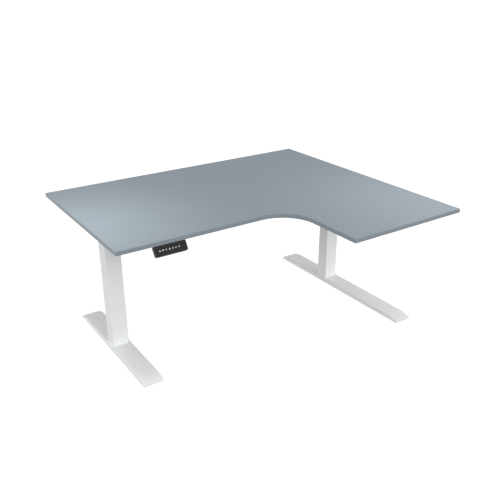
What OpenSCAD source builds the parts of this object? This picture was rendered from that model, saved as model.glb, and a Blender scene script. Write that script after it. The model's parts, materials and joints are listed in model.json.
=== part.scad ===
// Height adjustable corner desk: an L-shaped worktop on two motor-driven lifting columns.
// Millimetres. The origin is on the floor under the middle of the worktop, the user's
// side is -Y, and the desk is modelled fully lowered.

/* [Worktop] */
// Overall width, left to right
top_w = 1400; // [1300:50:1600]
// Overall depth, over the return
top_d = 1200; // [1100:50:1300]
// Depth of the left end
main_d = 800; // [750:10:850]
// Width of the return
return_w = 600; // [500:10:700]
// Radius of the inner corner
inner_r = 150; // [60:10:200]
// Thickness of the board
top_t = 18; // [18:1:22]
// Thickness of the edging
edge_t = 1; // [0.8:0.1:2]
// Height of the worktop when the desk is fully lowered
low_h = 600; // [600:5:640]

/* [Columns] */
// Distance between the columns, centre to centre
leg_span = 1204; // [1100:2:1240]
// Distance of the columns behind the middle of the overall depth
leg_y = 117; // [100:1:130]
// Width of the outer tube, left to right
tube_x = 71; // [68:1:76]
// Depth of the outer tube, front to back
tube_y = 65; // [62:1:70]
// Wall of each tube
tube_wall = 1.5; // [1.2:0.1:1.8]
// Gap between one tube and the next
tube_gap = 2; // [1.6:0.1:2.2]
// Height of the plastic bush in the top of a tube
bush_h = 40; // [25:5:50]

/* [Feet] */
// Width of a foot
foot_w = 87; // [80:1:95]
// Height of a foot
foot_h = 20; // [18:1:22]
// Sheet thickness of a foot
foot_wall = 2.5; // [2:0.1:3]
// Length of each foot behind its column
foot_back = 332; // [300:2:380]
// Length of the left foot in front of its column
left_reach = 350; // [300:10:380]
// Length of the right foot in front of its column
right_reach = 560; // [400:10:580]
// Length of the slope at each end of a foot
nose = 52; // [30:1:60]
// Height of the blunt edge below that slope
toe_h = 7; // [4:0.5:10]
// Height of the feet above the floor on their glides
glide_h = 5; // [4:1:6]

/* [Frame] */
// Width of a cross rail
rail_w = 25; // [20:1:30]
// Height of a cross rail
rail_h = 40; // [30:1:42]
// Distance between the cross rails, centre to centre
rail_span = 150; // [140:2:160]
// Steel thickness of the column heads and side brackets
plate_t = 3; // [2.5:0.5:3.5]
// Length of the side brackets behind the columns
bracket_back = 300; // [250:10:400]
// Length of the left side bracket in front of its column
left_arm = 245; // [200:5:260]
// Length of the right side bracket in front of its column
right_arm = 635; // [500:5:650]

/* [Control box] */
// Width of the control box
box_w = 260; // [240:5:300]
// Depth of the control box
box_d = 110; // [100:5:130]
// Height of the control box
box_h = 36; // [34:1:40]
// Distance of the control box's front behind the middle of the overall depth
box_y = 260; // [250:5:300]

/* [Handset] */
// Width of the handset
handset_w = 138; // [134:1:160]
// Height of its sloping face
handset_h = 42; // [40:0.5:42]
// Thickness of its body
handset_d = 14; // [13:1:16]
// Distance of its left end from the left end of the worktop
handset_inset = 149; // [120:1:200]
// Lean of its face from upright
handset_lean = 34; // [25:1:40]
// Distance from one key to the next
key_pitch = 13.5; // [13:0.1:15]
// Distance of the first key's centre from the left end of the handset
first_key = 22.5; // [16:0.5:26]

/* [Hidden] */
$fn = 48;
left = -1;
right = 1;
sides = [left, right];
slack = 0.3;        // clearance between parts that slide
snug = 0.05;        // clearance round a fixed shank or bearing
cut = 1;            // how far a cutter runs past a face

// Heights
under_z = low_h - top_t;
column_z = glide_h + foot_h;
pad_h = 2;
flange_z = under_z - pad_h - plate_t;
head_drop = 54;
head_z = under_z - head_drop;
head_outboard = 80;
deck_z = head_z + plate_t;

// Columns
tube_r = 4;
tube_step = tube_wall + tube_gap;
base_t = 8;
outer_top = head_z - 13;
middle_top = head_z - 7;
middle_z = column_z + base_t + 5;
inner_z = middle_z + 5;
lip_h = 3;

// Spindles, from the outside in
nut_tube_r = 14;
hollow_r = 11;
drive_r = 7;
nut_h = 25;
nut_top = outer_top - 20;
hollow_cap_h = 8;

// Drive
axis_z = deck_z + 20;
gear_teeth = 30;
gear_r = 17.5;
tooth_h = 2;
gear_h = 14;
worm_r = 6;
worm_pitch = 3.6;
worm_y = gear_r + worm_r + slack;
box_half = 30;
bearing_r = 14;
bearing_h = 8;
bearing_z = deck_z + 2;
motor_r = 19;
motor_l = 100;
cap_l = 8;

// Fixings
m8_r = 3.95;
m8_head_r = 6.5;
m8_head_h = 5;
m6_r = 2.95;
m6_head_r = 5;
m6_head_h = 4;
m6_l = 10;
bolt_play = 0.35;
foot_bolt_x = 20;
foot_bolt_y = 17;
plate_under = 4;
rail_bolt_x = [0, 60];
cheek_bolt_y = [-80, -45, 45, 80];
screw_r = 2;
screw_head_r = 4.5;
screw_head_h = 3;
screw_bite = 12;

// Glides
glide_r = 14;
glide_inset = 75;
boss_r = 9;
boss_h = 14.5;

// Side brackets
web_x = -47;
flange_w = 40;
arm_tip = 15;
arm_root = 43;
root_half = 110;
screw_x = web_x + flange_w / 2;
left_screws = [-225, -110, 120, 280];
right_screws = [-610, -430, -250, -110, 120, 280];

// Control box
shell_h = 16;
wall = 2;
ear = 16;
ear_y = [20, 90];
entry_z = under_z - 7;
entry_y = box_y + box_d / 2;
handset_entry_x = -45;

// Handset
handset_r = 8;
handset_top_r = 3;
face_t = 2;
key_w = 12;
key_h = 15;
key_r = 2;
key_t = 4;
key_gap = 0.25;
key_proud = 0.2;
key_travel = 0.8;
board_t = 1.6;
handset_y = top_d / 2 - main_d - 22;
handset_z = under_z - 35;
handset_x = -top_w / 2 + handset_inset;
tab_l = 52;
handset_screws = [25, handset_w - 25];

// Leads
motor_lead_r = 2.5;
handset_lead_r = 2;
// Points of each route, with heights below the board
left_motor_route = [
    [-466, 141, -31], [-456, 141, -31], [-446, 142, -30], [-438, 146, -26], [-433, 153, -20],
    [-430, 162, -13], [-428, 172, -7], [-426, 185, -4], [-423, 200, -3.5],
    [-417, 215, -3.5], [-411, 230, -3.5], [-405, 245, -3.5], [-396, 264, -3.5],
    [-382, 284, -3.5], [-362, 300, -3.5], [-338, 311, -3.5], [-312, 315, -3.5],
    [-280, 315, -3.5], [-250, 315, -3.5], [-220, 315, -3.5], [-190, 315, -3.5],
    [-168, 315, -4.5], [-150, 315, -6.5], [-138, 315, -7], [-124, 315, -7]
];
handset_route = [
    [-480, -174, -9], [-480, -166, -9], [-480, -154, -8], [-480, -140, -5],
    [-480, -126, -3], [-480, -110, -2.5], [-480, -90, -2.5], [-480, -70, -2.5],
    [-480, -40, -2.5], [-480, -10, -2.5], [-480, 20, -2.5], [-480, 50, -2.5],
    [-477, 70, -2.5], [-468, 87, -2.5], [-453, 97, -2.5], [-434, 100, -2.5],
    [-400, 100, -2.5], [-360, 100, -2.5], [-320, 100, -2.5], [-280, 100, -2.5],
    [-240, 100, -2.5], [-200, 100, -2.5], [-160, 100, -2.5], [-120, 100, -2.5],
    [-93, 101, -2.5], [-70, 107, -2.5], [-54, 120, -2.5], [-46, 140, -2.5],
    [-45, 165, -2.5], [-45, 190, -2.5], [-45, 215, -3], [-45, 235, -5], [-45, 248, -7],
    [-45, 266, -7]
];
// Each clip: its place, the lead's direction and the lead's radius
left_motor_clips = [[-411, 230, 68, motor_lead_r], [-250, 315, 0, motor_lead_r]];
handset_clips = [
    [-480, -90, 90, handset_lead_r], [-480, 5, 90, handset_lead_r],
    [-340, 100, 0, handset_lead_r], [-140, 100, 0, handset_lead_r]
];

// ---- Shapes that repeat -----------------------------------------------------------------

module round_rect(size, r) {
    square([size[0] - 2 * r, size[1]], center = true);
    square([size[0], size[1] - 2 * r], center = true);
    for (x = sides, y = sides)
        translate([x * (size[0] / 2 - r), y * (size[1] / 2 - r)]) circle(r);
}

module block(low, high) {
    translate(low) cube(high - low);
}

// Local +X points inboard from a column's centre line
module at_column(side) {
    translate([side * leg_span / 2, leg_y, 0]) mirror([side == right ? 1 : 0, 0, 0]) children();
}

module along_x(x, y, z) {
    translate([x, y, z]) rotate([0, 90, 0]) children();
}

// Outside size of tube number n, counted from the outer tube
function tube_size(n) = [tube_x - 2 * n * tube_step, tube_y - 2 * n * tube_step];
function grow(size, d) = [size[0] + 2 * d, size[1] + 2 * d];

module tube(n, z, top) {
    translate([0, 0, z]) linear_extrude(top - z) difference() {
        round_rect(tube_size(n), tube_r);
        round_rect(grow(tube_size(n), -tube_wall), tube_r - tube_wall);
    }
}

// Plastic bush in the mouth of tube n, with a lip over the tube's edge
module bush(n, top) {
    bore = grow(tube_size(n + 1), slack);
    difference() {
        union() {
            translate([0, 0, top - bush_h]) linear_extrude(bush_h)
                round_rect(grow(tube_size(n), -tube_wall), tube_r - tube_wall);
            translate([0, 0, top]) linear_extrude(lip_h) round_rect(tube_size(n), tube_r);
        }
        translate([0, 0, top - bush_h - cut]) linear_extrude(bush_h + lip_h + 2 * cut)
            round_rect(bore, tube_r + slack);
    }
}

// Plastic slider round the bottom of tube n
module slider(n, z) {
    translate([0, 0, z]) linear_extrude(bush_h) difference() {
        round_rect(grow(tube_size(n - 1), -tube_wall - slack), tube_r - tube_wall);
        round_rect(tube_size(n), tube_r);
    }
}

module pipe(outer, inner, z, top) {
    translate([0, 0, z]) difference() {
        cylinder(r = outer, h = top - z);
        translate([0, 0, -cut]) cylinder(r = inner, h = top - z + 2 * cut);
    }
}

// Round tube swept along a route under the board
module lead(route, r) {
    n = len(route);
    k = 8;
    function dir(i) = let (d = route[min(i + 1, n - 1)] - route[max(i - 1, 0)]) d / norm(d);
    function ring(i) = let (
        t = dir(i),
        s = cross(t, abs(t[2]) > 0.9 ? [1, 0, 0] : [0, 0, 1]),
        u = s / norm(s),
        v = cross(t, u)
    ) [for (j = [0:k - 1]) route[i] + r * (cos(360 * j / k) * u + sin(360 * j / k) * v)];
    points = [for (i = [0:n - 1]) each ring(i)];
    faces = concat(
        [[for (j = [0:k - 1]) j]],
        [[for (j = [k - 1:-1:0]) (n - 1) * k + j]],
        [for (i = [0:n - 2], j = [0:k - 1])
            [i * k + j, (i + 1) * k + j, (i + 1) * k + (j + 1) % k, i * k + (j + 1) % k]]
    );
    translate([0, 0, under_z]) polyhedron(points, faces);
}

// ---- Worktop ----------------------------------------------------------------------------

// Outline of the worktop, drawn in by d on every side
module top_outline(d) {
    corner = [top_w / 2 - return_w, top_d / 2 - main_d];
    difference() {
        union() {
            translate([-top_w / 2 + d, corner[1] + d])
                square([top_w - 2 * d, main_d - 2 * d]);
            translate([corner[0] + d, -top_d / 2 + d])
                square([return_w - 2 * d, top_d - 2 * d]);
            translate(corner - [inner_r, inner_r])
                square([inner_r + 2 * d, inner_r + 2 * d]);
        }
        translate(corner - [inner_r, inner_r]) circle(inner_r + d, $fn = 96);
    }
}

// Every wood screw: its place and the face that its head bears on
screws = concat(
    [for (y = left_screws) [-leg_span / 2 + screw_x, leg_y + y, flange_z]],
    [for (y = right_screws) [leg_span / 2 - screw_x, leg_y + y, flange_z]],
    [for (x = sides, y = ear_y) [x * (box_w + ear) / 2, box_y + y, under_z - plate_t]],
    [for (x = handset_screws) [handset_x + x, handset_y + tab_l + 12, under_z - plate_t]]
);

module desktop() {
    color([0.60, 0.65, 0.70]) difference() {
        translate([0, 0, under_z]) linear_extrude(top_t) top_outline(edge_t);
        for (s = screws)
            translate([s[0], s[1], under_z - cut]) cylinder(r = screw_r + snug, h = screw_bite + 2);
    }
}

module edge_band() {
    color([0.54, 0.59, 0.64]) translate([0, 0, under_z]) linear_extrude(top_t) difference() {
        top_outline(0);
        top_outline(edge_t);
    }
}

module desktop_screws() {
    color("silver") for (s = screws) translate(s) {
        translate([0, 0, -screw_head_h]) cylinder(r = screw_head_r, h = screw_head_h);
        cylinder(r = screw_r, h = under_z + screw_bite - s[2]);
    }
}

// ---- Top frame --------------------------------------------------------------------------

module side_bracket(side, arm, screw_list) {
    web_top = flange_z + plate_t;
    color([0.93, 0.93, 0.93]) at_column(side) difference() {
        union() {
            block([web_x, -arm, flange_z], [web_x + flange_w, bracket_back, web_top]);
            translate([web_x, 0, 0]) rotate([90, 0, 90]) linear_extrude(plate_t) polygon([
                [-arm, web_top], [bracket_back, web_top], [bracket_back, web_top - arm_tip],
                [root_half, web_top - arm_root], [-root_half, web_top - arm_root],
                [-arm, web_top - arm_tip]
            ]);
        }
        for (y = screw_list)
            translate([screw_x, y, flange_z - cut])
                cylinder(r = screw_r + bolt_play, h = plate_t + 2 * cut);
        for (y = cheek_bolt_y)
            along_x(web_x - cut, y, axis_z) cylinder(r = m6_r + bolt_play, h = plate_t + 2 * cut);
    }
}

module bracket_pads() {
    color("dimgray") {
        for (y = left_screws) at_column(left) translate([screw_x, y, 0])
            pipe(10, screw_r + 1, under_z - pad_h, under_z);
        for (y = right_screws) at_column(right) translate([screw_x, y, 0])
            pipe(10, screw_r + 1, under_z - pad_h, under_z);
    }
}

// side_y is -1 for the front rail and 1 for the rear rail
module rail(side_y) {
    half = leg_span / 2 + box_half;
    color([0.93, 0.93, 0.93]) translate([0, leg_y + side_y * rail_span / 2, deck_z])
        difference() {
            along_x(-half, 0, rail_h / 2) linear_extrude(2 * half) difference() {
                round_rect([rail_h, rail_w], 3);
                round_rect([rail_h - 2 * wall, rail_w - 2 * wall], 1);
            }
            for (s = sides, x = rail_bolt_x)
                translate([s * (leg_span / 2 - x), 0, -cut])
                    cylinder(r = m6_r + bolt_play, h = wall + 2 * cut);
        }
}

module column_head(side) {
    cheek_x = web_x + plate_t;
    half_y = rail_span / 2 + rail_w / 2 + 8;
    color([0.93, 0.93, 0.93]) at_column(side) difference() {
        union() {
            block([cheek_x, -half_y, head_z], [head_outboard, half_y, deck_z]);
            block([cheek_x, -half_y, head_z], [cheek_x + plate_t, half_y, deck_z + rail_h]);
        }
        translate([0, 0, head_z - cut]) cylinder(r = bearing_r, h = plate_t + 2 * cut);
        for (x = rail_bolt_x, y = sides)
            translate([x, y * rail_span / 2, head_z - cut])
                cylinder(r = m6_r + bolt_play, h = plate_t + 2 * cut);
        for (y = cheek_bolt_y)
            along_x(cheek_x - cut, y, axis_z) cylinder(r = m6_r + bolt_play, h = plate_t + 2 * cut);
    }
}

// Bolt with its head below z = 0 and its shank up to length l
module bolt(r, head_r, head_h, l) {
    translate([0, 0, -head_h]) cylinder(r = head_r, h = head_h);
    cylinder(r = r, h = l);
}

module frame_bolts() {
    color("silver") for (side = sides) at_column(side) {
        for (x = rail_bolt_x, y = sides)
            translate([x, y * rail_span / 2, head_z]) bolt(m6_r, m6_head_r, m6_head_h, m6_l);
        for (y = cheek_bolt_y) along_x(web_x, y, axis_z) bolt(m6_r, m6_head_r, m6_head_h, m6_l);
    }
}

// ---- Drive ------------------------------------------------------------------------------

module gearbox(side) {
    cavity_r = gear_r + 2;
    cavity_h = gear_h + 4;
    case_d = 62;
    worm_room = 20;
    color([0.2, 0.2, 0.21]) at_column(side) difference() {
        translate([0, 5, deck_z]) linear_extrude(rail_h) round_rect([2 * box_half, case_d], 5);
        translate([0, 0, axis_z - cavity_h / 2]) cylinder(r = cavity_r, h = cavity_h);
        translate([0, 0, bearing_z]) cylinder(r = bearing_r + snug, h = bearing_h + 2);
        translate([0, 0, deck_z - cut]) cylinder(r = drive_r + 2, h = 2 * plate_t);
        along_x(-worm_room, worm_y, axis_z)
            cylinder(r = worm_r + 1.5, h = box_half + worm_room + cut);
    }
}

module motor(side) {
    worm_l = 28;
    root_r = 4.6;
    color([0.13, 0.13, 0.14]) at_column(side) {
        along_x(box_half, worm_y, axis_z) cylinder(r = motor_r, h = motor_l);
        along_x(box_half + motor_l, worm_y, axis_z) difference() {
            cylinder(r = motor_r - 2, h = cap_l);
            translate([0, 0, cap_l - 3]) cylinder(r = motor_lead_r + 0.7, h = 3 + cut);
        }
        along_x(0, worm_y, axis_z) cylinder(r = 4, h = box_half);
        along_x(-worm_l / 2, worm_y, axis_z) rotate_extrude() polygon(concat(
            [[0, 0]],
            [for (i = [0:floor(worm_l / worm_pitch) - 1], p = [[root_r, 0], [worm_r, 1.2],
                [worm_r, 2.4], [root_r, 3.5]]) [p[0], i * worm_pitch + p[1]]],
            [[root_r, worm_l], [0, worm_l]]
        ));
    }
}

module spindle_bearings() {
    color("silver") for (side = sides) at_column(side)
        pipe(bearing_r, drive_r + slack, bearing_z, bearing_z + bearing_h);
}

// Drive spindle with the worm wheel at its top
module drive_spindle(side) {
    root_r = gear_r - tooth_h;
    step = 360 / gear_teeth;
    low = inner_z + 12;
    function rim(r, a) = r * [cos(a), sin(a)];
    color([0.72, 0.62, 0.35]) at_column(side) {
        translate([0, 0, low]) cylinder(r = drive_r, h = axis_z + gear_h / 2 + 1 - low);
        translate([0, 0, axis_z - gear_h / 2]) linear_extrude(gear_h) polygon([
            for (i = [0:gear_teeth - 1], p = [[root_r, 0], [root_r, 0.3], [gear_r, 0.45],
                [gear_r, 0.75]]) rim(p[0], (i + p[1]) * step)
        ]);
    }
}

// ---- Columns ----------------------------------------------------------------------------

module inner_tube(side) {
    color([0.95, 0.95, 0.95]) at_column(side) tube(2, inner_z, head_z);
}

module inner_slider(side) {
    color("dimgray") at_column(side) slider(2, inner_z);
}

module middle_tube(side) {
    color([0.95, 0.95, 0.95]) at_column(side) tube(1, middle_z, middle_top);
}

module middle_slider(side) {
    color("dimgray") at_column(side) slider(1, middle_z);
}

module middle_bush(side) {
    color("dimgray") at_column(side) bush(1, middle_top);
}

module hollow_spindle(side) {
    cap_z = nut_top + 2;
    color("darkgray") at_column(side) {
        pipe(hollow_r, drive_r + slack, inner_z, cap_z);
        pipe(nut_tube_r, drive_r + slack, cap_z, cap_z + hollow_cap_h);
    }
}

module outer_tube(side) {
    color([0.95, 0.95, 0.95]) at_column(side) {
        tube(0, column_z, outer_top);
        difference() {
            translate([0, 0, column_z]) linear_extrude(base_t)
                round_rect(grow(tube_size(0), -1), tube_r - 1);
            for (x = sides, y = sides)
                translate([x * foot_bolt_x, y * foot_bolt_y, column_z - cut])
                    cylinder(r = m8_r + snug, h = base_t + 2 * cut);
        }
    }
}

module outer_bush(side) {
    color("dimgray") at_column(side) bush(0, outer_top);
}

// Fixed tubes that carry the lifting nuts, one in each column
module nut_tubes() {
    color("darkgray") for (side = sides) at_column(side) {
        pipe(nut_tube_r, hollow_r + 1, column_z + base_t, nut_top - nut_h);
        pipe(nut_tube_r + 2, hollow_r + slack, nut_top - nut_h, nut_top);
    }
}

// ---- Feet -------------------------------------------------------------------------------

// Side view of a foot drawn in by d, open below where d is more than 0
module foot_side(reach, d) {
    rise = foot_h - toe_h;
    run = nose / rise;
    skew = d * norm([nose, rise]) / rise;
    low = d > 0 ? -cut : 0;
    toe = toe_h + (d - skew) / run;
    high = foot_h - d;
    slope = skew + (high - toe_h) * run;
    polygon([
        [-reach + d, low], [-reach + d, toe], [-reach + slope, high],
        [foot_back - slope, high], [foot_back - d, toe], [foot_back - d, low]
    ]);
}

// End view of a foot drawn in by d, rounded along its top edges
module foot_end(d) {
    r = max(3 - d, 0.5);
    half = foot_w / 2 - d;
    high = foot_h - d;
    translate([-half, -cut]) square([2 * half, high + cut - r]);
    translate([-half + r, 0]) square([2 * half - 2 * r, high]);
    for (x = sides) translate([x * (half - r), high - r]) circle(r);
}

module foot_core(reach, d) {
    intersection() {
        translate([-foot_w, 0, 0]) rotate([90, 0, 90]) linear_extrude(2 * foot_w)
            foot_side(reach, d);
        translate([0, foot_back + cut, 0]) rotate([90, 0, 0])
            linear_extrude(foot_back + reach + 2 * cut) foot_end(d);
    }
}

module foot(side, reach) {
    ends = [-reach + glide_inset, foot_back - glide_inset];
    plate = [2 * foot_bolt_x + 30, 2 * foot_bolt_y + 40, plate_under];
    color([0.94, 0.94, 0.94]) at_column(side) translate([0, 0, glide_h]) difference() {
        union() {
            difference() {
                foot_core(reach, 0);
                foot_core(reach, foot_wall);
            }
            for (y = ends) translate([0, y, foot_h - foot_wall - boss_h])
                cylinder(r = boss_r, h = boss_h);
            translate([-plate[0] / 2, -plate[1] / 2, foot_h - foot_wall - plate_under])
                cube(plate);
        }
        for (y = ends) translate([0, y, -cut])
            cylinder(r = m8_r + snug, h = foot_h - foot_wall + cut);
        for (x = sides, y = sides) translate([x * foot_bolt_x, y * foot_bolt_y, 0])
            cylinder(r = m8_r + bolt_play, h = foot_h + cut);
    }
}

module foot_bolts() {
    seat = column_z - foot_wall - plate_under;
    color("silver") for (side = sides, x = sides, y = sides) at_column(side)
        translate([x * foot_bolt_x, y * foot_bolt_y, seat])
            bolt(m8_r, m8_head_r, m8_head_h, column_z + base_t - seat);
}

// Levelling glide under a foot, y in front of or behind the column
module glide(side, y) {
    seat = column_z - foot_wall - boss_h;
    color([0.15, 0.15, 0.15]) at_column(side) translate([0, y, 0]) {
        cylinder(r = glide_r, h = glide_h);
        cylinder(r = 7, h = seat);
        cylinder(r = m8_r, h = seat + boss_h - 1);
    }
}

// ---- Control box ------------------------------------------------------------------------

module box_part(d) {
    translate([0, box_y + box_d / 2]) round_rect([box_w - 2 * d, box_d - 2 * d], max(6 - d, 1));
}

module control_box_shell() {
    color([0.16, 0.16, 0.17]) difference() {
        union() {
            translate([0, 0, under_z - shell_h]) linear_extrude(shell_h) box_part(0);
            for (x = sides, y = ear_y)
                translate([x * (box_w + ear - 2) / 2, box_y + y, under_z - plate_t])
                    linear_extrude(plate_t) round_rect([ear + 2, 20], 4);
        }
        translate([0, 0, under_z - shell_h - cut]) linear_extrude(shell_h + cut - wall)
            box_part(wall);
        for (x = sides, y = ear_y)
            translate([x * (box_w + ear) / 2, box_y + y, under_z - plate_t - cut])
                cylinder(r = screw_r + bolt_play, h = plate_t + 2 * cut);
        for (x = sides) along_x(x * box_w / 2 - 5, entry_y, entry_z)
            cylinder(r = motor_lead_r + slack, h = 10);
        translate([handset_entry_x, box_y + 5, entry_z]) rotate([90, 0, 0])
            cylinder(r = handset_lead_r + slack, h = 10);
    }
}

module control_box_cover() {
    low = under_z - box_h;
    cover_h = box_h - shell_h;
    color([0.16, 0.16, 0.17]) difference() {
        translate([0, 0, low]) linear_extrude(cover_h) box_part(0);
        translate([0, 0, low + wall]) linear_extrude(cover_h) box_part(wall);
        for (i = [-9:9])
            translate([i * 8, box_y + box_d / 2, low - cut]) linear_extrude(wall + 2 * cut)
                square([3, 60], center = true);
        block([-16, box_y + box_d - 5, low + 3], [16, box_y + box_d + cut, low + cover_h + cut]);
    }
}

module control_board() {
    z = under_z - box_h + 6;
    color([0.10, 0.35, 0.20]) {
        block([-115, box_y + 10, z], [115, box_y + 80, z + board_t]);
        block([-30, box_y + 25, z + board_t], [20, box_y + 65, z + 20]);
        for (x = [45, 65, 85]) translate([x, box_y + 30, z]) cylinder(r = 7, h = 18);
        for (x = [-95, -70, -45]) block([x, box_y + 20, z], [x + 16, box_y + 35, z + 14]);
    }
}

module power_inlet() {
    low = under_z - box_h + 3;
    back = box_y + box_d;
    color([0.08, 0.08, 0.08]) {
        difference() {
            block([-15.7, back - 22, low + slack], [15.7, back, low + 17]);
            block([-12, back - 16, low + 3], [12, back + cut, low + 14]);
        }
        for (x = [-7, 0, 7]) block([x - 1, back - 18, low + 6], [x + 1, back - 4, low + 11]);
    }
}

// ---- Handset ----------------------------------------------------------------------------

// Local X runs along the handset, Y up its face and Z out of its face
module in_handset() {
    translate([handset_x, handset_y, handset_z]) rotate([90 - handset_lean, 0, 0]) children();
}

module face_outline(d) {
    translate([handset_w / 2, handset_h / 2])
        round_rect([handset_w - 2 * d, handset_h - 2 * d], handset_r - d);
    translate([handset_w / 2, 3 * handset_h / 4])
        round_rect([handset_w - 2 * d, handset_h / 2 - 2 * d], handset_top_r - d);
}

module key_outline(d) {
    round_rect([key_w + 2 * d, key_h + 2 * d], key_r + d);
}

function key_place(i) = [first_key + i * key_pitch, handset_h / 2 + 0.5];

module handset_housing() {
    tab_y = handset_y + 20;
    wedge_y = tab_y + 28;
    color([0.09, 0.09, 0.10]) difference() {
        union() {
            in_handset() translate([0, 0, -handset_d]) linear_extrude(handset_d - face_t)
                face_outline(0);
            block([handset_x + 8, tab_y + 8, under_z - plate_t],
                [handset_x + handset_w - 8, tab_y + tab_l, under_z]);
            translate([handset_x + 8, 0, 0]) rotate([90, 0, 90])
                linear_extrude(handset_w - 16) polygon([
                    [tab_y + 6, under_z - cut], [wedge_y, under_z - cut],
                    [wedge_y, under_z - 14], [tab_y + 8, under_z - 24]
                ]);
        }
        in_handset() translate([0, 0, wall - handset_d]) linear_extrude(handset_d)
            face_outline(wall);
        for (x = handset_screws)
            translate([handset_x + x, handset_y + tab_l + 12, under_z - plate_t - cut])
                cylinder(r = screw_r + bolt_play, h = plate_t + 2 * cut);
        translate([handset_route[0][0], wedge_y + cut, under_z - 9]) rotate([90, 0, 0])
            cylinder(r = handset_lead_r + slack, h = 6);
    }
}

module handset_face() {
    color([0.05, 0.05, 0.06]) in_handset() difference() {
        translate([0, 0, -face_t]) linear_extrude(face_t) face_outline(0);
        for (i = [0:6]) translate([key_place(i)[0], key_place(i)[1], -face_t - cut])
            linear_extrude(face_t + 2 * cut) key_outline(key_gap);
    }
}

module handset_board() {
    z = -key_t - key_travel - slack - board_t;
    color([0.10, 0.35, 0.20]) in_handset() translate([4, 5, z])
        cube([handset_w - 8, handset_h - 10, board_t]);
}

module key(i) {
    color([0.07, 0.07, 0.08]) in_handset()
        translate([key_place(i)[0], key_place(i)[1], -key_t])
            linear_extrude(key_t + key_proud) key_outline(0);
}

// ---- Leads ------------------------------------------------------------------------------

module clip(place) {
    z = under_z - (place[3] == motor_lead_r ? 3.5 : 2.5);
    translate([place[0], place[1], 0]) rotate([0, 0, place[2]]) difference() {
        block([-4, -7, under_z - 7.5], [4, 7, under_z]);
        along_x(-4 - cut, 0, z) cylinder(r = place[3] + slack, h = 8 + 2 * cut);
    }
}

module cable_clips() {
    color([0.9, 0.9, 0.9]) {
        for (c = left_motor_clips) {
            clip(c);
            mirror([1, 0, 0]) clip(c);
        }
        for (c = handset_clips) clip(c);
    }
}

module left_motor_lead() {
    color("black") lead(left_motor_route, motor_lead_r);
}

module right_motor_lead() {
    color("black") mirror([1, 0, 0]) lead(left_motor_route, motor_lead_r);
}

module handset_lead() {
    color("black") lead(handset_route, handset_lead_r);
}

// ---- Nodes ------------------------------------------------------------------------------

desktop();
edge_band();
side_bracket(left, left_arm, left_screws);  // left_side_bracket
side_bracket(right, right_arm, right_screws);  // right_side_bracket
bracket_pads();
desktop_screws();
rail(-1);  // front_rail
rail(1);  // rear_rail
column_head(left);  // left_column_head
column_head(right);  // right_column_head
frame_bolts();
inner_tube(left);  // left_inner_tube
inner_tube(right);  // right_inner_tube
inner_slider(left);  // left_inner_slider
inner_slider(right);  // right_inner_slider
gearbox(left);  // left_gearbox
gearbox(right);  // right_gearbox
motor(left);  // left_motor
motor(right);  // right_motor
spindle_bearings();
drive_spindle(left);  // left_drive_spindle
drive_spindle(right);  // right_drive_spindle
middle_tube(left);  // left_middle_tube
middle_tube(right);  // right_middle_tube
middle_slider(left);  // left_middle_slider
middle_slider(right);  // right_middle_slider
middle_bush(left);  // left_middle_bush
middle_bush(right);  // right_middle_bush
hollow_spindle(left);  // left_hollow_spindle
hollow_spindle(right);  // right_hollow_spindle
outer_tube(left);  // left_outer_tube
outer_tube(right);  // right_outer_tube
outer_bush(left);  // left_outer_bush
outer_bush(right);  // right_outer_bush
nut_tubes();
foot(left, left_reach);  // left_foot
foot(right, right_reach);  // right_foot
foot_bolts();
glide(left, -left_reach + glide_inset);  // left_front_glide
glide(left, foot_back - glide_inset);  // left_rear_glide
glide(right, -right_reach + glide_inset);  // right_front_glide
glide(right, foot_back - glide_inset);  // right_rear_glide
control_box_shell();
control_box_cover();
control_board();
power_inlet();
handset_housing();
handset_face();
handset_board();
key(0);  // reminder_key
key(1);  // memory_key
key(2);  // key_1
key(3);  // key_2
key(4);  // key_3
key(5);  // down_key
key(6);  // up_key
left_motor_lead();
right_motor_lead();
handset_lead();
cable_clips();
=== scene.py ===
"""L-shaped height adjustable desk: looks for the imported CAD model, in metres."""

import json
import math

import bmesh
import bpy
from mathutils import Matrix, Vector


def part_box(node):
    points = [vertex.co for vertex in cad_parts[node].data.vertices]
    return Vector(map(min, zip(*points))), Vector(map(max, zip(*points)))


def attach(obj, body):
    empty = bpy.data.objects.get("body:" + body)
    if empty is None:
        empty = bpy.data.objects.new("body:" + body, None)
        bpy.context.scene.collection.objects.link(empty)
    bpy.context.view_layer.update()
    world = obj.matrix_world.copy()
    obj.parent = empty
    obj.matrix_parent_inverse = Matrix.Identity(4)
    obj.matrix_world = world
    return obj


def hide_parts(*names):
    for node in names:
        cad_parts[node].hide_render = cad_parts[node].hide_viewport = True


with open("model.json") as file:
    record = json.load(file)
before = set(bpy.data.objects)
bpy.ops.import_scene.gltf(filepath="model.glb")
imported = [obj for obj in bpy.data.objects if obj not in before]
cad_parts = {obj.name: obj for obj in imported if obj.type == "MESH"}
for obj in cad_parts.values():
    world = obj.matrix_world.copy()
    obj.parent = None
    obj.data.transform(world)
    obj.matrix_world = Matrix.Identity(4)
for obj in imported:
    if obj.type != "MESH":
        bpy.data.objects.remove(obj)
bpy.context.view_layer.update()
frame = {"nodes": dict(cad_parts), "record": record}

MM = 0.001
RECORD = frame["record"]
SLOT_OF = {s["node"]: s["material_slot"] for s in RECORD["subparts"]}
BODY_OF = {n: b for b, members in RECORD["behaviour"]["bodies"].items() for n in members}

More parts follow.
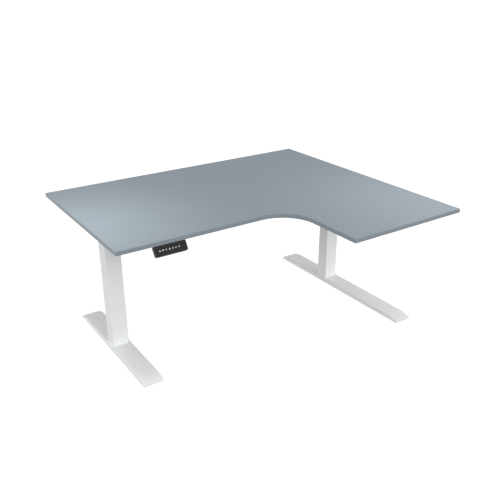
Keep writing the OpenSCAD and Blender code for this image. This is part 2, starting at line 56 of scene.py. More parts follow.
# Sizes that a node's own box doesn't say
MAIN_DEPTH = 800 * MM
RETURN_WIDTH = 600 * MM
INNER_RADIUS = 150 * MM
EDGING = 1 * MM
BOX_HALF_WIDTH = 130 * MM
WOOD_SCREW_R, WOOD_SCREW_HEAD = 2 * MM, 3 * MM
M6_R, M6_HEAD, M6_KEY = 2.95 * MM, 4 * MM, 4 * MM
M8_R, M8_HEAD, M8_KEY = 3.95 * MM, 5 * MM, 6 * MM
COVER_SCREW_HEAD_R = 3 * MM
MOTOR_LEAD_R = 2.5 * MM
HANDSET_LEAD_R = 2 * MM
KEY_THICKNESS = 4.2 * MM
# Lean of the handset's face from upright
HANDSET_LEAN = math.radians(34)
# Points of a CAD mesh closer than this are one point
SAME_POINT = 0.002 * MM


# ---- Materials --------------------------------------------------------------------------

class Shader:
    """A Principled material and short ways to add nodes to it."""

    def __init__(self, name, color, roughness, **sockets):
        self.material = bpy.data.materials.new(name)
        self.material.use_nodes = True
        self.tree = self.material.node_tree
        self.bsdf = self.tree.nodes["Principled BSDF"]
        self.color = color
        self.bsdf.inputs["Base Color"].default_value = (*color, 1)
        self.bsdf.inputs["Roughness"].default_value = roughness
        for key, value in sockets.items():
            self.bsdf.inputs[key.replace("_", " ")].default_value = value
        self.place = self.node("ShaderNodeTexCoord").outputs["Object"]

    def node(self, kind, **settings):
        n = self.tree.nodes.new(kind)
        for key, value in settings.items():
            setattr(n, key, value)
        return n

    def link(self, a, b):
        self.tree.links.new(a, b)

    def stretched(self, scale):
        mapping = self.node("ShaderNodeMapping")
        mapping.inputs["Scale"].default_value = scale
        self.link(self.place, mapping.inputs["Vector"])
        return mapping.outputs["Vector"]

    def noise(self, scale, detail=3, stretch=None):
        n = self.node("ShaderNodeTexNoise")
        n.inputs["Scale"].default_value = scale
        n.inputs["Detail"].default_value = detail
        self.link(self.stretched(stretch) if stretch else self.place, n.inputs["Vector"])
        return n.outputs["Fac"]

    def cells(self, scale, feature="F1"):
        n = self.node("ShaderNodeTexVoronoi", feature=feature)
        n.inputs["Scale"].default_value = scale
        self.link(self.place, n.inputs["Vector"])
        return n.outputs["Distance"]

    def spread(self, value, low, high):
        """The middle of a noise's range, spread from low to high."""
        n = self.node("ShaderNodeMapRange")
        n.inputs["From Min"].default_value = 0.3
        n.inputs["From Max"].default_value = 0.7
        n.inputs["To Min"].default_value = low
        n.inputs["To Max"].default_value = high
        self.link(value, n.inputs["Value"])
        return n.outputs["Result"]

    def tint(self, value, amount):
        """Base colour that varies by amount either way with value."""
        n = self.node("ShaderNodeMix", data_type="RGBA")
        n.inputs["A"].default_value = (*[c * (1 - amount) for c in self.color], 1)
        n.inputs["B"].default_value = (*[min(c * (1 + amount), 1) for c in self.color], 1)
        self.link(value, n.inputs["Factor"])
        self.link(n.outputs["Result"], self.bsdf.inputs["Base Color"])

    def rough(self, value, low, high):
        self.link(self.spread(value, low, high), self.bsdf.inputs["Roughness"])

    def bump(self, value, strength, depth):
        n = self.node("ShaderNodeBump")
        n.inputs["Strength"].default_value = strength
        n.inputs["Distance"].default_value = depth
        self.link(value, n.inputs["Height"])
        self.link(n.outputs["Normal"], self.bsdf.inputs["Normal"])


def melamine(name, color):
    s = Shader(name, color, 0.36, Specular_IOR_Level=0.40)
    s.tint(s.noise(9, 5), 0.018)
    s.rough(s.noise(60, 4), 0.32, 0.42)
    s.bump(s.cells(1400), 0.10, 0.05 * MM)
    return s.material


def edge_strip(name, color):
    s = Shader(name, color, 0.4, Specular_IOR_Level=0.45)
    s.tint(s.noise(30, 3), 0.02)
    s.rough(s.noise(120, 3), 0.34, 0.46)
    s.bump(s.noise(500, 2, (0.2, 0.2, 3)), 0.12, 0.04 * MM)
    return s.material


def powder_coat(name, color):
    s = Shader(name, color, 0.45, Specular_IOR_Level=0.4)
    s.tint(s.noise(5, 4), 0.012)
    s.rough(s.noise(90, 3), 0.40, 0.52)
    s.bump(s.noise(1100, 2), 0.16, 0.06 * MM)
    return s.material


def bright_metal(name, color, roughness, stretch):
    s = Shader(name, color, roughness, Metallic=1.0)
    s.tint(s.noise(40, 3), 0.06)
    s.rough(s.noise(300, 3, stretch), roughness - 0.07, roughness + 0.1)
    s.bump(s.noise(700, 2, stretch), 0.15, 0.03 * MM)
    return s.material


def moulded(name, color, roughness, grain, depth):
    s = Shader(name, color, roughness)
    s.tint(s.noise(25, 3), 0.06)
    s.rough(s.noise(200, 3), roughness - 0.05, roughness + 0.07)
    s.bump(s.noise(grain, 2), 0.3, depth)
    return s.material


def gloss_panel(name, color):
    s = Shader(name, color, 0.14, Coat_Weight=0.1, Specular_IOR_Level=0.3)
    s.tint(s.noise(20, 2), 0.08)
    s.rough(s.noise(160, 4), 0.09, 0.17)
    s.bump(s.noise(60, 2), 0.05, 0.02 * MM)
    return s.material


def solder_mask(name, color):
    s = Shader(name, color, 0.35)
    tracks = s.node("ShaderNodeTexBrick")
    tracks.inputs["Scale"].default_value = 90
    tracks.inputs["Color1"].default_value = (*color, 1)
    tracks.inputs["Color2"].default_value = (*[c * 1.25 for c in color], 1)
    tracks.inputs["Mortar"].default_value = (*[c * 1.9 for c in color], 1)
    s.link(s.place, tracks.inputs["Vector"])
    s.link(tracks.outputs["Color"], s.bsdf.inputs["Base Color"])
    s.rough(s.noise(150, 2), 0.3, 0.42)
    return s.material


WHITE = (0.80, 0.81, 0.82)
MATERIALS = {
    "worktop": melamine("worktop_melamine", (0.272, 0.314, 0.349)),
    # The edging's base colour is the worktop's grey-blue made darker: painted shade for the dimmer
    # light on the band's upright faces
    "edging": edge_strip("worktop_edging", (0.200, 0.236, 0.266)),
    "white_steel": powder_coat("white_powder_coat", WHITE),
    "zinc_steel": bright_metal("zinc_steel", (0.62, 0.62, 0.62), 0.32, None),
    "spindle_steel": bright_metal("spindle_steel", (0.45, 0.45, 0.46), 0.35, (1, 1, 12)),
    "bronze": bright_metal("cut_bronze", (0.68, 0.52, 0.28), 0.34, (1, 1, 12)),
    "bearing_steel": bright_metal("bearing_steel", (0.6, 0.6, 0.62), 0.22, (1, 1, 20)),
    "slider_plastic": moulded("slider_plastic", (0.055, 0.055, 0.06), 0.5, 900, 0.04 * MM),
    "gearbox_plastic": moulded("gearbox_nylon", (0.03, 0.03, 0.033), 0.52, 700, 0.08 * MM),
    "motor_black": moulded("motor_enamel", (0.025, 0.025, 0.028), 0.3, 400, 0.04 * MM),
    "black_plastic": moulded("textured_abs", (0.022, 0.022, 0.025), 0.5, 1500, 0.08 * MM),
    "gloss_black": gloss_panel("gloss_black", (0.010, 0.010, 0.012)),
    "circuit_board": solder_mask("solder_mask", (0.02, 0.14, 0.06)),
    "black_rubber": moulded("black_rubber", (0.02, 0.02, 0.02), 0.75, 1200, 0.08 * MM),
    "cable_black": moulded("cable_pvc", (0.018, 0.018, 0.018), 0.42, 600, 0.05 * MM),
    "clip_white": moulded("clip_nylon", (0.78, 0.78, 0.75), 0.4, 800, 0.04 * MM),
}
SYMBOL_WHITE = moulded("symbol_white", (0.9, 0.9, 0.9), 0.4, 900, 0.01 * MM)


# ---- Building pieces --------------------------------------------------------------------

def put(obj, body, slot, nodes=()):
    """Gives a finished object its material and its place in the table."""
    obj.data.materials.clear()
    obj.data.materials.append(MATERIALS[slot])
    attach(obj, body)
    if nodes:
        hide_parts(*nodes)
    return obj


def new_object(name, mesh_or_curve):
    obj = bpy.data.objects.new(name, mesh_or_curve)
    bpy.context.scene.collection.objects.link(obj)
    return obj


def from_bmesh(name, bm, angle=35):
    bmesh.ops.recalc_face_normals(bm, faces=bm.faces)
    mesh = bpy.data.meshes.new(name)
    bm.to_mesh(mesh)
    bm.free()
    mesh.shade_smooth()
    mesh.set_sharp_from_angle(angle=math.radians(angle))
    return new_object(name, mesh)


def soften(obj, width, segments=3, angle=35):
    m = obj.modifiers.new("edges", "BEVEL")
    m.width = width
    m.segments = segments
    m.limit_method = "ANGLE"
    m.angle_limit = math.radians(angle)
    m.harden_normals = True
    m.miter_outer = "MITER_ARC"
    return obj


def dress(node, name, width, join=True):
    """Copy of a CAD node with its edges rounded, and its flat faces joined if they may be."""
    bm = bmesh.new()
    bm.from_mesh(frame["nodes"][node].data)
    bmesh.ops.remove_doubles(bm, verts=bm.verts, dist=SAME_POINT)
    if join:
        bmesh.ops.dissolve_limit(
            bm, angle_limit=math.radians(0.4), verts=bm.verts, edges=bm.edges)
    obj = soften(from_bmesh(name, bm), width)
    return put(obj, BODY_OF[node], SLOT_OF[node], [node])


def solids_of(node):
    """Lowest and highest corner of each separate solid in a CAD node."""
    bm = bmesh.new()
    bm.from_mesh(frame["nodes"][node].data)
    bmesh.ops.remove_doubles(bm, verts=bm.verts, dist=SAME_POINT)
    left, found = set(bm.verts), []
    while left:
        todo = [left.pop()]
        points = []
        while todo:
            v = todo.pop()
            points.append(v.co.copy())
            for e in v.link_edges:
                other = e.other_vert(v)
                if other in left:
                    left.discard(other)
                    todo.append(other)
        found.append((Vector(map(min, *points)), Vector(map(max, *points))))
    bm.free()
    return sorted(found, key=lambda box: tuple(round(x, 5) for x in box[0]))


def skin(bm, loops, close=False):
    """Faces between loops of points that all have the same count."""
    rings = [[bm.verts.new(p) for p in loop] for loop in loops]
    pairs = list(zip(rings, rings[1:])) + ([(rings[-1], rings[0])] if close else [])
    for a, b in pairs:
        for i in range(len(a)):
            j = (i + 1) % len(a)
            bm.faces.new((a[i], a[j], b[j], b[i]))
    if not close:
        bm.faces.new(reversed(rings[0]))
        bm.faces.new(rings[-1])


# ---- Worktop ----------------------------------------------------------------------------

def top_outline(inset, z):
    """The worktop's outline, drawn in by inset, with the inner corner as an arc."""
    low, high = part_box("edge_band")
    corner = Vector((high.x - RETURN_WIDTH, high.y - MAIN_DEPTH))
    centre = corner - Vector((INNER_RADIUS, INNER_RADIUS))
    steps = 48
    arc = [(centre.x + (INNER_RADIUS + inset) * math.cos(a),
            centre.y + (INNER_RADIUS + inset) * math.sin(a))
           for a in (math.pi / 2 * i / steps for i in range(steps + 1))]
    points = [(high.x - inset, low.y + inset), (high.x - inset, high.y - inset),
              (low.x + inset, high.y - inset), (low.x + inset, corner.y + inset),
              *reversed(arc), (corner.x + inset, low.y + inset)]
    return [Vector((x, y, z)) for x, y in points]


def worktop():
    low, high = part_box("desktop")
    joint, ease = 0.03 * MM, 0.05 * MM
    bm = bmesh.new()
    skin(bm, [
        top_outline(EDGING + joint + ease, low.z), top_outline(EDGING + joint, low.z + ease),
        top_outline(EDGING + joint, high.z - ease), top_outline(EDGING + joint + ease, high.z)])
    put(from_bmesh("worktop_board", bm), "upper", "worktop", ["desktop"])


def edging():
    low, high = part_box("edge_band")
    round_r, steps = 0.9 * MM, 5
    turn = [math.pi / 2 * i / steps for i in range(steps + 1)]
    outside = [(round_r * (1 - math.sin(a)), low.z + round_r * (1 - math.cos(a))) for a in turn]
    outside += [(round_r * (1 - math.cos(a)), high.z - round_r * (1 - math.sin(a))) for a in turn]
    profile = [(EDGING, low.z), *outside, (EDGING, high.z)]
    bm = bmesh.new()
    skin(bm, [top_outline(inset, z) for inset, z in profile], close=True)
    put(from_bmesh("worktop_edging", bm, 50), "upper", "edging", ["edge_band"])


# ---- Fasteners --------------------------------------------------------------------------

def star(radius, arms, waist):
    """Radius as a function of angle for a recess with that many arms."""
    def at(a):
        c = abs(math.cos(arms / 2 * a))
        return radius * (waist + (1 - waist) * c ** 3)
    return at


def hexagon(across):
    def at(a):
        return across / 2 / math.cos((a + math.pi / 6) % (math.pi / 3) - math.pi / 6)
    return at


def turned(bm, profile, place, count=36, close=False):
    """Solid of (radius, height) rings; a radius may be a function of the angle."""
    angles = [2 * math.pi * i / count for i in range(count)]
    loops = []
    for radius, height in profile:
        at = radius if callable(radius) else (lambda a, r=radius: r)
        loops.append([place @ Vector((at(a) * math.cos(a), at(a) * math.sin(a), height))
                      for a in angles])
    skin(bm, loops, close)


def aimed(point, direction):
    """Matrix that puts local +Z along direction at point."""
    turn = Vector(direction).to_track_quat("Z", "Y").to_matrix().to_4x4()
    return Matrix.Translation(point) @ turn


def head_and_shank(head_r, head_h, shank_r, length, recess, depth):
    """Profile with the shank up +Z from 0 and a rounded head below it, with a recess."""
    edge = 0.25 * head_h
    return [
        (lambda a: 0.75 * recess(a), -head_h + depth), (recess, -head_h),
        (head_r - 1.6 * edge, -head_h), (head_r - 0.5 * edge, -head_h + 0.4 * edge),
        (head_r, -head_h + 1.4 * edge), (head_r, -0.1 * edge), (head_r - 0.1 * edge, 0),
        (shank_r, 0), (shank_r, length - shank_r), (0.45 * shank_r, length)]


def wood_screws():
    bm = bmesh.new()
    for low, high in solids_of("desktop_screws"):
        head_r = (high.x - low.x) / 2
        profile = head_and_shank(head_r, WOOD_SCREW_HEAD, WOOD_SCREW_R,
                                 high.z - low.z - WOOD_SCREW_HEAD,
                                 star(0.55 * head_r, 4, 0.35), 1.6 * MM)
        centre = (low + high) / 2
        centre.z = low.z + WOOD_SCREW_HEAD
        turned(bm, profile, aimed(centre, (0, 0, 1)))
    put(from_bmesh("wood_screws", bm), "upper", "zinc_steel", ["desktop_screws"])


def machine_bolts(node, name, body, shank_r, head_h, across):
    """Socket-head bolts: those along X have their heads outboard, the others below."""
    bm = bmesh.new()
    for low, high in solids_of(node):
        size, centre = high - low, (low + high) / 2
        along = 0 if size.x > size.z else 2
        out = math.copysign(1, centre.x) if along == 0 else -1
        direction = Vector((-out, 0, 0)) if along == 0 else Vector((0, 0, 1))
        seat = centre.copy()
        seat[along] = (high[along] if out > 0 else low[along]) - out * head_h
        profile = head_and_shank(size.y / 2, head_h, shank_r, size[along] - head_h,
                                 hexagon(across), 0.6 * head_h)
        turned(bm, profile, aimed(seat, direction))
    put(from_bmesh(name, bm), body, "zinc_steel", [node])


def cover_screws(name, places, direction):
    """Pan-head screws whose heads stand on a cover, with the shank along direction."""
    head_r = COVER_SCREW_HEAD_R
    bm = bmesh.new()
    for place in places:
        profile = head_and_shank(head_r, 0.5 * head_r, 0.45 * head_r, 1.5 * head_r,
                                 star(0.6 * head_r, 4, 0.35), 0.3 * head_r)
        turned(bm, profile, aimed(Vector(place), direction))
    put(from_bmesh(name, bm), "upper", "zinc_steel")


def motor_screws(name, node):
    low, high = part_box(node)
    inboard = -math.copysign(1, (low + high).x)
    end = high.x if inboard > 0 else low.x
    middle, reach, turn = (low + high) / 2, 11 * MM, 0.9
    offset = Vector((0, reach * math.cos(turn), reach * math.sin(turn)))
    middle.x = end
    cover_screws(name, [middle - offset, middle + offset], (-inboard, 0, 0))


def corners(low, high, inset, z):
    return [(x, y, z) for x in (low.x + inset, high.x - inset)
            for y in (low.y + inset, high.y - inset)]


def gearbox_screws(name, node):
    low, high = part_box(node)
    cover_screws(name, corners(low, high, 6 * MM, high.z), (0, 0, -1))


def box_screws():
    low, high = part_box("control_box_cover")
    cover_screws("control_box_screws", corners(low, high, 8 * MM, low.z), (0, 0, 1))


# ---- Welds ------------------------------------------------------------------------------

def weld(name, tube, head):
    """Rippled fillet where a tube meets the plate above it."""
    low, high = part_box(tube)
    corner, steps, ripples = 3 * MM, 12, 46
    left, right, front, back = low.x + corner, high.x - corner, low.y + corner, high.y - corner
    path = []
    for i, (x, y) in enumerate(((right, back), (left, back), (left, front), (right, front))):
        for j in range(steps + 1):
            a = math.radians(90 * (i + j / steps))
            path.append((Vector((x, y, high.z)), Vector((math.cos(a), math.sin(a), 0))))
    bead, flat, sunk = 0.9 * MM, 0.62, 0.2 * MM
    points = []
    for i, (centre, out) in enumerate(path):
        following, out_after = path[(i + 1) % len(path)]
        here, there = centre + out * corner, following + out_after * corner
        parts = max(1, round((there - here).length / bead))
        points += [(here.lerp(there, j / parts), out.lerp(out_after, j / parts).normalized())
                   for j in range(parts)]
    bm = bmesh.new()
    loops = []
    for i, (p, out) in enumerate(points):
        leg = 3 * MM * (1 + 0.09 * math.sin(2 * math.pi * ripples * i / len(points)))
        down = Vector((0, 0, -leg))
        loops.append([p - out * sunk, p + out * leg, p + (out * leg + down) * flat,
                      p - out * sunk + down])
    skin(bm, loops, close=True)
    put(from_bmesh(name, bm, 70), BODY_OF[head], "white_steel")


# ---- Leads ------------------------------------------------------------------------------

# Points of each route in millimetres, with heights below the board
LEFT_MOTOR_ROUTE = [
    (-466, 141, -31), (-456, 141, -31), (-446, 142, -30), (-438, 146, -26), (-433, 153, -20),
    (-430, 162, -13), (-428, 172, -7), (-426, 185, -4), (-423, 200, -3.5),
    (-417, 215, -3.5), (-411, 230, -3.5), (-405, 245, -3.5), (-396, 264, -3.5),
    (-382, 284, -3.5), (-362, 300, -3.5), (-338, 311, -3.5), (-312, 315, -3.5),
    (-280, 315, -3.5), (-250, 315, -3.5), (-220, 315, -3.5), (-190, 315, -3.5),
    (-168, 315, -4.5), (-150, 315, -6.5), (-138, 315, -7), (-124, 315, -7)]
HANDSET_ROUTE = [
    (-480, -174, -9), (-480, -166, -9), (-480, -154, -8), (-480, -140, -5),
    (-480, -126, -3), (-480, -110, -2.5), (-480, -90, -2.5), (-480, -70, -2.5),
    (-480, -40, -2.5), (-480, -10, -2.5), (-480, 20, -2.5), (-480, 50, -2.5),
    (-477, 70, -2.5), (-468, 87, -2.5), (-453, 97, -2.5), (-434, 100, -2.5),
    (-400, 100, -2.5), (-360, 100, -2.5), (-320, 100, -2.5), (-280, 100, -2.5),
    (-240, 100, -2.5), (-200, 100, -2.5), (-160, 100, -2.5), (-120, 100, -2.5),
    (-93, 101, -2.5), (-70, 107, -2.5), (-54, 120, -2.5), (-46, 140, -2.5),
    (-45, 165, -2.5), (-45, 190, -2.5), (-45, 215, -3), (-45, 235, -5), (-45, 248, -7),
    (-45, 266, -7)]


def below_board(x, y, z):
    """Place in metres of a route's point."""
    return Vector((x, y, z)) * MM + Vector((0, 0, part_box("desktop")[0].z))


def lead(name, node, route, radius, side=1):
    """Smooth round lead through the route's points, mirrored where side is -1."""
    curve = bpy.data.curves.new(name, "CURVE")
    curve.dimensions = "3D"
    curve.bevel_depth = radius
    curve.bevel_resolution = 5
    curve.resolution_u = 6
    curve.use_fill_caps = True
    spline = curve.splines.new("NURBS")
    spline.points.add(len(route) - 1)
    for point, (x, y, z) in zip(spline.points, route):
        point.co = (*below_board(side * x, y, z), 1)
    spline.order_u = 3
    spline.use_endpoint_u = True
    put(new_object(name, curve), "upper", "cable_black", [node])


def sleeve(name, place, direction, lead_r):
    """Ribbed rubber sleeve that a lead leaves a housing through."""
    bm = bmesh.new()
    ribs, pitch, thick, thin = 5, 2.2 * MM, lead_r + 2.2 * MM, lead_r + 0.9 * MM
    profile = [(lead_r + 3.2 * MM, 0), (lead_r + 3.2 * MM, 1.2 * MM)]
    for i in range(ribs):
        r = thick + (thin - thick) * i / (ribs - 1)
        z = 1.2 * MM + i * pitch
        profile += [(r - 0.6 * MM, z), (r - 0.6 * MM, z + 0.8 * MM), (r, z + MM), (r, z + pitch)]
    end = profile[-1][1]
    profile += [(lead_r + 0.4 * MM, end), (lead_r + 0.4 * MM, 0)]
    turned(bm, profile, aimed(Vector(place), direction), close=True)
    put(from_bmesh(name, bm), "upper", "black_rubber")


def sleeves():
    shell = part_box("control_box_shell")[0]
    for side, motor in ((-1, "left_motor"), (1, "right_motor")):
        low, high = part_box(motor)
        end = high.x if side < 0 else low.x
        start = below_board(*LEFT_MOTOR_ROUTE[0])
        sleeve(motor + "_sleeve", (end, (low.y + high.y) / 2, start.z), (-side, 0, 0), MOTOR_LEAD_R)
        entry = below_board(*LEFT_MOTOR_ROUTE[-1])
        sleeve(motor + "_box_sleeve", (side * BOX_HALF_WIDTH, entry.y, entry.z), (side, 0, 0),
               MOTOR_LEAD_R)
    entry = below_board(*HANDSET_ROUTE[-1])
    sleeve("handset_box_sleeve", (entry.x, shell.y, entry.z), (0, -1, 0), HANDSET_LEAD_R)
    sleeve("handset_sleeve", below_board(*HANDSET_ROUTE[0]), (0, 1, 0), HANDSET_LEAD_R)


def clips():
    """A saddle round each lead, with a pad that sticks to the worktop."""
    reach, length, pad, wall, play = 7 * MM, 8 * MM, 1.6 * MM, 1.4 * MM, 0.3 * MM
    routes = [([below_board(side * x, y, z) for x, y, z in route], radius)
              for route, radius, side in ((LEFT_MOTOR_ROUTE, MOTOR_LEAD_R, 1),
                                          (LEFT_MOTOR_ROUTE, MOTOR_LEAD_R, -1),
                                          (HANDSET_ROUTE, HANDSET_LEAD_R, 1))]
    bm = bmesh.new()
    for low, high in solids_of("cable_clips"):
        middle = (low + high) / 2
        _, i, route, lead_r = min(
            ((p - middle).length, i, tuple(route), r)
            for route, r in routes for i, p in enumerate(route) if 0 < i < len(route) - 1)
        along = (route[i + 1] - route[i - 1]).normalized()
        across = Vector((-along.y, along.x, 0)).normalized()
        centre = Vector((middle.x, middle.y, route[i].z))
        rise = high.z - centre.z
        tip, root = math.atan2(rise, reach), math.atan2(rise - pad, reach)

        def outside(a):
            up = math.sin(a)
            if up > math.sin(tip):
                return rise / up
            return reach / abs(math.cos(a)) if up > math.sin(root) else lead_r + wall

        def hole(_):
            return lead_r + play

        def ring(end, radius):
            return [end + across * radius(a) * math.cos(a) + Vector((0, 0, radius(a) * math.sin(a)))
                    for a in angles]

        # The outline turns sharply at these angles, so a point lies close on either side
        eps = 1e-4
        sharp = [root - eps, root + eps, tip - eps, tip + eps]
        angles = sorted([math.radians(a) for a in range(-88, 270, 6)]
                        + sharp + [math.pi - a for a in sharp])
        ends = [centre - along * length / 2, centre + along * length / 2]
        skin(bm, [ring(ends[0], outside), ring(ends[1], outside), ring(ends[1], hole),
                  ring(ends[0], hole)], close=True)
    put(soften(from_bmesh("lead_clips", bm), 0.3 * MM, 2), "upper", "clip_white", ["cable_clips"])


# ---- Handset ----------------------------------------------------------------------------

UP_FACE = Vector((0, math.sin(HANDSET_LEAN), math.cos(HANDSET_LEAN)))
OUT_OF_FACE = Vector((0, -math.cos(HANDSET_LEAN), math.sin(HANDSET_LEAN)))


def arc(cx, cy, r, start, end, steps=12):
    """Points of an arc from one angle to another, in degrees."""
    return [(cx + r * math.cos(math.radians(start + (end - start) * i / steps)),
             cy + r * math.sin(math.radians(start + (end - start) * i / steps)))
            for i in range(steps + 1)]


# Strokes of each symbol in millimetres about the key's centre, and their width
SYMBOLS = {
    "reminder_key": (0.9, [
        [(0, -1.9), (-2.8, -1.9), (-2.0, -0.9), *arc(0, 0.6, 1.9, 180, 0), (2.0, -0.9),
         (2.8, -1.9), (0, -1.9)], [(-0.5, -3.0), (0.5, -3.0)]]),
    "memory_key": (1.15, [[(-2.9, -2.9), (-2.9, 2.9), (0, -0.6), (2.9, 2.9), (2.9, -2.9)]]),
    "key_1": (1.1, [[(-1.5, 1.7), (0.3, 3.0), (0.3, -3.0)]]),
    "key_2": (1.1, [[*arc(0, 1.3, 1.8, 170, -35), (-1.9, -2.9), (2.0, -2.9)]]),
    "key_3": (1.1, [[*arc(0, 1.45, 1.5, 150, -90), (-0.5, -0.05)],
                    [(-0.5, -0.05), *arc(0, -1.5, 1.65, 90, -150)]]),
    "down_key": (1.15, [[(-3.9, 1.4), (0, -1.6), (3.9, 1.4)]]),
    "up_key": (1.15, [[(-3.9, -1.4), (0, 1.6), (3.9, -1.4)]]),
}


def ribbon(bm, path, width, place, height):
    """Flat stroke of one width along a path, with a little thickness."""
    points = [Vector(p) for p in path]
    sides = []
    for i, p in enumerate(points):
        before = (p - points[i - 1]).normalized() if i else None
        after = (points[i + 1] - p).normalized() if i + 1 < len(points) else None
        along = ((before or after) + (after or before)).normalized()
        across = Vector((-along.y, along.x))
        turn = (after or before).dot(along)
        reach = width / 2 / max(turn, 0.45)
        sides.append((p + across * reach, p - across * reach))
    top = [[bm.verts.new(place(v, height)) for v in pair] for pair in sides]
    base = [[bm.verts.new(place(v, 0)) for v in pair] for pair in sides]
    for i in range(len(points) - 1):
        (a, b), (c, d) = top[i], top[i + 1]
        (e, f), (g, h) = base[i], base[i + 1]
        for face in ((a, b, d, c), (e, g, h, f), (a, c, g, e), (b, f, h, d)):
            bm.faces.new(face)
    bm.faces.new((top[0][0], base[0][0], base[0][1], top[0][1]))
    bm.faces.new((top[-1][0], top[-1][1], base[-1][1], base[-1][0]))


def symbol(node):
    """White sign on a key's front."""
    width, paths = SYMBOLS[node]
    low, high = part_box(node)
    front = (low + high) / 2 + OUT_OF_FACE * KEY_THICKNESS / 2

    def place(v, height):
        return front + Vector((v[0] * MM, 0, 0)) + UP_FACE * v[1] * MM + OUT_OF_FACE * height

    bm = bmesh.new()
    for path in paths:
        ribbon(bm, path, width, place, 0.05 * MM)
    obj = from_bmesh(node + "_symbol", bm)
    obj.data.materials.append(SYMBOL_WHITE)
    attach(obj, BODY_OF[node])


# ---- Stage ------------------------------------------------------------------------------

def floor():
    """Pale floor that shines a little, and doesn't light the desk from below."""
    bm = bmesh.new()
    reach = 60
    bm.faces.new([bm.verts.new((x * reach, y * reach, 0))
                  for x, y in ((-1, -1), (1, -1), (1, 1), (-1, 1))])
    obj = from_bmesh("floor", bm)
    s = Shader("pale_floor", (0.25, 0.25, 0.25), 0.9)
    s.tint(s.noise(2, 2), 0.004)
    s.bsdf.inputs["Specular IOR Level"].default_value = 0
    s.bsdf.inputs["Emission Color"].default_value = (1, 1, 1, 1)
    s.bsdf.inputs["Emission Strength"].default_value = 0.9
    obj.data.materials.append(s.material)
    obj.visible_diffuse = False


def soft_spot(name, place, target, reach, power):
    """Spot at place whose beam fades out at reach from target."""
    ray = Vector(target) - Vector(place)
    light = bpy.data.lights.new(name, "SPOT")
    light.spot_size = 2 * math.atan(reach / ray.length)
    light.spot_blend = 1
    light.shadow_soft_size = 0.3
    light.energy = power
    obj = new_object(name, light)
    obj.location = place
    obj.rotation_mode = "QUATERNION"
    obj.rotation_quaternion = ray.to_track_quat("-Z", "Y")


def map_range(tree, value, low, high, at_low, at_high):
    """Smooth step from at_low to at_high as value goes from low to high."""
    n = tree.nodes.new("ShaderNodeMapRange")
    n.interpolation_type = "SMOOTHSTEP"
    tree.links.new(value, n.inputs["Value"])
    for key, number in (("From Min", low), ("From Max", high), ("To Min", at_low),
                        ("To Max", at_high)):
        n.inputs[key].default_value = number
    return n.outputs["Result"]


def studio():
    """A room with bright walls, a dark flag in the back wall, a dim ceiling and floor."""
    world = bpy.data.worlds.new("studio")
    bpy.context.scene.world = world
    world.use_nodes = True
    tree = world.node_tree
    place = tree.nodes.new("ShaderNodeTexCoord").outputs["Generated"]
    split = tree.nodes.new("ShaderNodeSeparateXYZ")
    tree.links.new(place, split.inputs["Vector"])
    wall, back_wall, left_wall, flag, ceiling, below = 2.1, 1.65, 1.85, 0.1, 0.82, 0.1
    toward = tree.nodes.new("ShaderNodeVectorMath")
    toward.operation = "DOT_PRODUCT"
    tree.links.new(place, toward.inputs[0])
    toward.inputs[1].default_value = (0.5, 0.866, 0)
    strength = map_range(tree, split.outputs["Y"], 0, 0.4, wall, back_wall)
    shaded = map_range(tree, split.outputs["X"], -0.95, -0.5, left_wall / wall, 1)
    dark = map_range(tree, toward.outputs["Value"], 0.78, 0.92, 1, flag / back_wall)
    up = map_range(tree, split.outputs["Z"], 0.45, 0.62, 1, ceiling / wall)
    down = map_range(tree, split.outputs["Z"], -0.06, -0.01, below / wall, 1)
    for factor in (shaded, dark, up, down):
        product = tree.nodes.new("ShaderNodeMath")
        product.operation = "MULTIPLY"
        tree.links.new(strength, product.inputs[0])
        tree.links.new(factor, product.inputs[1])
        strength = product.outputs["Value"]
    room = tree.nodes["Background"]
    tree.links.new(strength, room.inputs["Strength"])
    room.inputs["Color"].default_value = (1, 1, 1, 1)
    backdrop = tree.nodes.new("ShaderNodeBackground")
    backdrop.inputs["Color"].default_value = (0.93, 0.93, 0.93, 1)
    seen = tree.nodes.new("ShaderNodeMixShader")
    tree.links.new(tree.nodes.new("ShaderNodeLightPath").outputs["Is Camera Ray"], seen.inputs[0])
    tree.links.new(room.outputs["Background"], seen.inputs[1])
    tree.links.new(backdrop.outputs["Background"], seen.inputs[2])
    tree.links.new(seen.outputs["Shader"], tree.nodes["World Output"].inputs["Surface"])
    soft_spot("left_end", (-0.85, 0.1, 3.5), (-0.74, 0.1, 0.6), 0.52, 230)
    soft_spot("right_end", (0.85, -0.4, 3.5), (0.70, -0.4, 0.6), 0.65, 110)
    bpy.context.scene.view_settings.view_transform = "Standard"


def camera():
    """Camera in front of the left end, looking down at the desk."""
    data = bpy.data.cameras.new("camera")
    data.sensor_width = 36
    data.lens = 45.317
    obj = new_object("camera", data)
    obj.location = (-1.4619, -2.1874, 1.5287)
    azimuth, down = math.radians(34.172), math.radians(23.940)
    ahead = Vector((math.sin(azimuth) * math.cos(down), math.cos(azimuth) * math.cos(down),
                    -math.sin(down)))
    obj.rotation_mode = "QUATERNION"
    obj.rotation_quaternion = ahead.to_track_quat("-Z", "Y")
    bpy.context.scene.camera = obj


# ---- The desk ---------------------------------------------------------------------------

camera()
studio()
floor()

worktop()
edging()

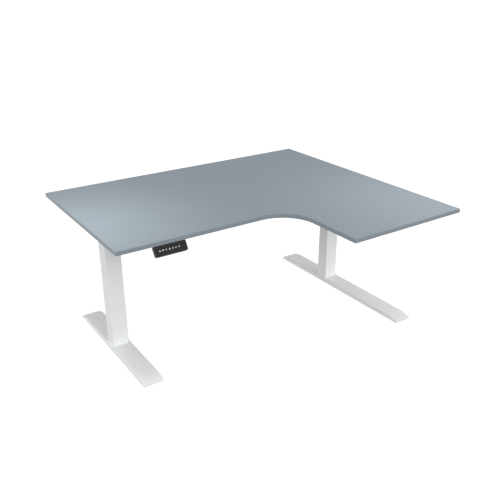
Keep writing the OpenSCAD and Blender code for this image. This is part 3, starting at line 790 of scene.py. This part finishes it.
# Width in millimetres of the rounding on each CAD node that keeps its shape
ROUNDED = {
    "left_foot": 0.5, "right_foot": 0.5, "left_outer_tube": 0.4, "right_outer_tube": 0.4,
    "left_middle_tube": 0.4, "right_middle_tube": 0.4, "left_inner_tube": 0.4,
    "right_inner_tube": 0.4, "left_outer_bush": 0.6, "right_outer_bush": 0.6,
    "left_middle_bush": 0.6, "right_middle_bush": 0.6, "left_column_head": 0.8,
    "right_column_head": 0.8, "left_side_bracket": 0.8, "right_side_bracket": 0.8,
    "front_rail": 0.4, "rear_rail": 0.4, "left_gearbox": 1.0, "right_gearbox": 1.0,
    "bracket_pads": 0.3, "control_box_shell": 0.5, "control_box_cover": 0.5,
    "power_inlet": 0.3, "handset_housing": 0.8, "handset_face": 0.3,
    "reminder_key": 0.3, "memory_key": 0.3, "key_1": 0.3, "key_2": 0.3, "key_3": 0.3,
    "down_key": 0.3, "up_key": 0.3, "left_front_glide": 0.8, "left_rear_glide": 0.8,
    "right_front_glide": 0.8, "right_rear_glide": 0.8, "left_motor": 0.8, "right_motor": 0.8,
}
for node, width in ROUNDED.items():
    dress(node, node + "_piece", width * MM, join=node != "control_box_cover")

wood_screws()
machine_bolts("frame_bolts", "frame_bolt_set", "upper", M6_R, M6_HEAD, M6_KEY)
machine_bolts("foot_bolts", "foot_bolt_set", "base", M8_R, M8_HEAD, M8_KEY)
for side in ("left", "right"):
    motor_screws(side + "_motor_screws", side + "_motor")
    gearbox_screws(side + "_gearbox_screws", side + "_gearbox")
    weld(side + "_head_weld", side + "_inner_tube", side + "_column_head")
box_screws()
sleeves()
clips()
lead("left_motor_cable", "left_motor_lead", LEFT_MOTOR_ROUTE, MOTOR_LEAD_R)
lead("right_motor_cable", "right_motor_lead", LEFT_MOTOR_ROUTE, MOTOR_LEAD_R, -1)
lead("handset_cable", "handset_lead", HANDSET_ROUTE, HANDSET_LEAD_R)
for node in SYMBOLS:
    symbol(node)

# Nodes that no piece stands for, such as the spindles and boards inside
for node, obj in frame["nodes"].items():
    if not obj.hide_render:
        obj.data.materials.clear()
        obj.data.materials.append(MATERIALS[SLOT_OF[node]])
